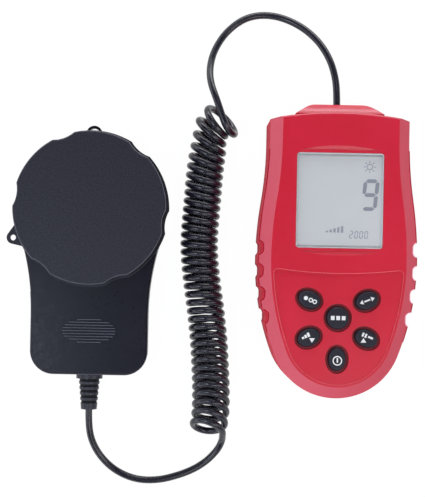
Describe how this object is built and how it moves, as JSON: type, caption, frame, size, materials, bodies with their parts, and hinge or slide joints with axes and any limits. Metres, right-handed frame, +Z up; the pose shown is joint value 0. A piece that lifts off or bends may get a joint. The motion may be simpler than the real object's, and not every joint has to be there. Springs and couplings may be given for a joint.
{
  "type": "lux meter",
  "caption": "Handheld light meter with a display and oval keys, joined by a curly cord to a round sensor head that has a scalloped cap, a grip patch and a ribbed boot.",
  "frame": {"origin": "on the table, under the middle of the box round the meter and the sensor head without their cord", "axes": "+X to the meter's right side, +Y towards the meter's top end where its lead comes out, +Z up out of the display"},
  "size_m": [0.1918, 0.2303, 0.0331],
  "materials": {
    "case_red": "satin moulded plastic",
    "key_rubber": "matte rubber",
    "clear_plastic": "clear",
    "lcd_glass": "liquid crystal glass",
    "black_gloss": "glossy moulded plastic",
    "black_matte": "fine grained plastic",
    "cord_black": "glossy cord jacket",
    "boot_rubber": "soft rubber",
    "white_plastic": "opal",
    "board_green": "laminate",
    "chip_black": "moulded resin",
    "steel": "plated",
    "cell_jacket": "printed sleeve left plain",
    "filter_green": "tinted glass",
    "grey_rubber": "elastomer"
  },
  "bodies": {
    "meter_and_sensor": {"front_shell": "case_red", "rear_shell": "case_red", "display_window": "clear_plastic", "display_glass": "lcd_glass", "display_frame": "white_plastic", "display_connectors": "grey_rubber", "main_board": "board_green", "board_chips": "chip_black", "keypad_mat": "grey_rubber", "contact_domes": "steel", "battery_cells": "cell_jacket", "battery_contacts": "steel", "case_screws": "steel", "board_screws": "steel", "cord_gland": "boot_rubber", "sensor_front_shell": "black_gloss", "sensor_rear_shell": "black_gloss", "diffuser_dome": "white_plastic", "diffuser_ring": "black_matte", "filter_glass": "filter_green", "photodiode": "chip_black", "sensor_board": "board_green", "sensor_screws": "steel", "sensor_strain_relief": "boot_rubber", "cord_meter_lead": "cord_black", "cord_curls": "cord_black", "cord_sensor_lead": "cord_black"},
    "key_rec_body": {"key_rec": "key_rubber"},
    "key_range_body": {"key_range": "key_rubber"},
    "key_mode_body": {"key_mode": "key_rubber"},
    "key_max_body": {"key_max": "key_rubber"},
    "key_hold_body": {"key_hold": "key_rubber"},
    "key_power_body": {"key_power": "key_rubber"},
    "sensor_cap_body": {"sensor_cap": "black_matte"},
    "battery_cover_body": {"battery_cover": "case_red"}
  },
  "joints": [
    {"name": "key_rec_press", "type": "slide", "parent": "meter_and_sensor", "child": "key_rec_body", "axis": [0, 0, -1], "range_m": [0, 0.0008], "stiffness_N_per_m": 800, "springref_m": -0.0005},
    {"name": "key_range_press", "type": "slide", "parent": "meter_and_sensor", "child": "key_range_body", "axis": [0, 0, -1], "range_m": [0, 0.0008], "stiffness_N_per_m": 800, "springref_m": -0.0005},
    {"name": "key_mode_press", "type": "slide", "parent": "meter_and_sensor", "child": "key_mode_body", "axis": [0, 0, -1], "range_m": [0, 0.0008], "stiffness_N_per_m": 800, "springref_m": -0.0005},
    {"name": "key_max_press", "type": "slide", "parent": "meter_and_sensor", "child": "key_max_body", "axis": [0, 0, -1], "range_m": [0, 0.0008], "stiffness_N_per_m": 800, "springref_m": -0.0005},
    {"name": "key_hold_press", "type": "slide", "parent": "meter_and_sensor", "child": "key_hold_body", "axis": [0, 0, -1], "range_m": [0, 0.0008], "stiffness_N_per_m": 800, "springref_m": -0.0005},
    {"name": "key_power_press", "type": "slide", "parent": "meter_and_sensor", "child": "key_power_body", "axis": [0, 0, -1], "range_m": [0, 0.0008], "stiffness_N_per_m": 800, "springref_m": -0.0005},
    {"name": "sensor_cap_lift", "type": "slide", "parent": "meter_and_sensor", "child": "sensor_cap_body", "axis": [0, 0, 1], "range_m": [0, 0.025]},
    {"name": "battery_cover_slide", "type": "slide", "parent": "meter_and_sensor", "child": "battery_cover_body", "axis": [0, -1, 0], "range_m": [0, 0.045]}
  ]
}
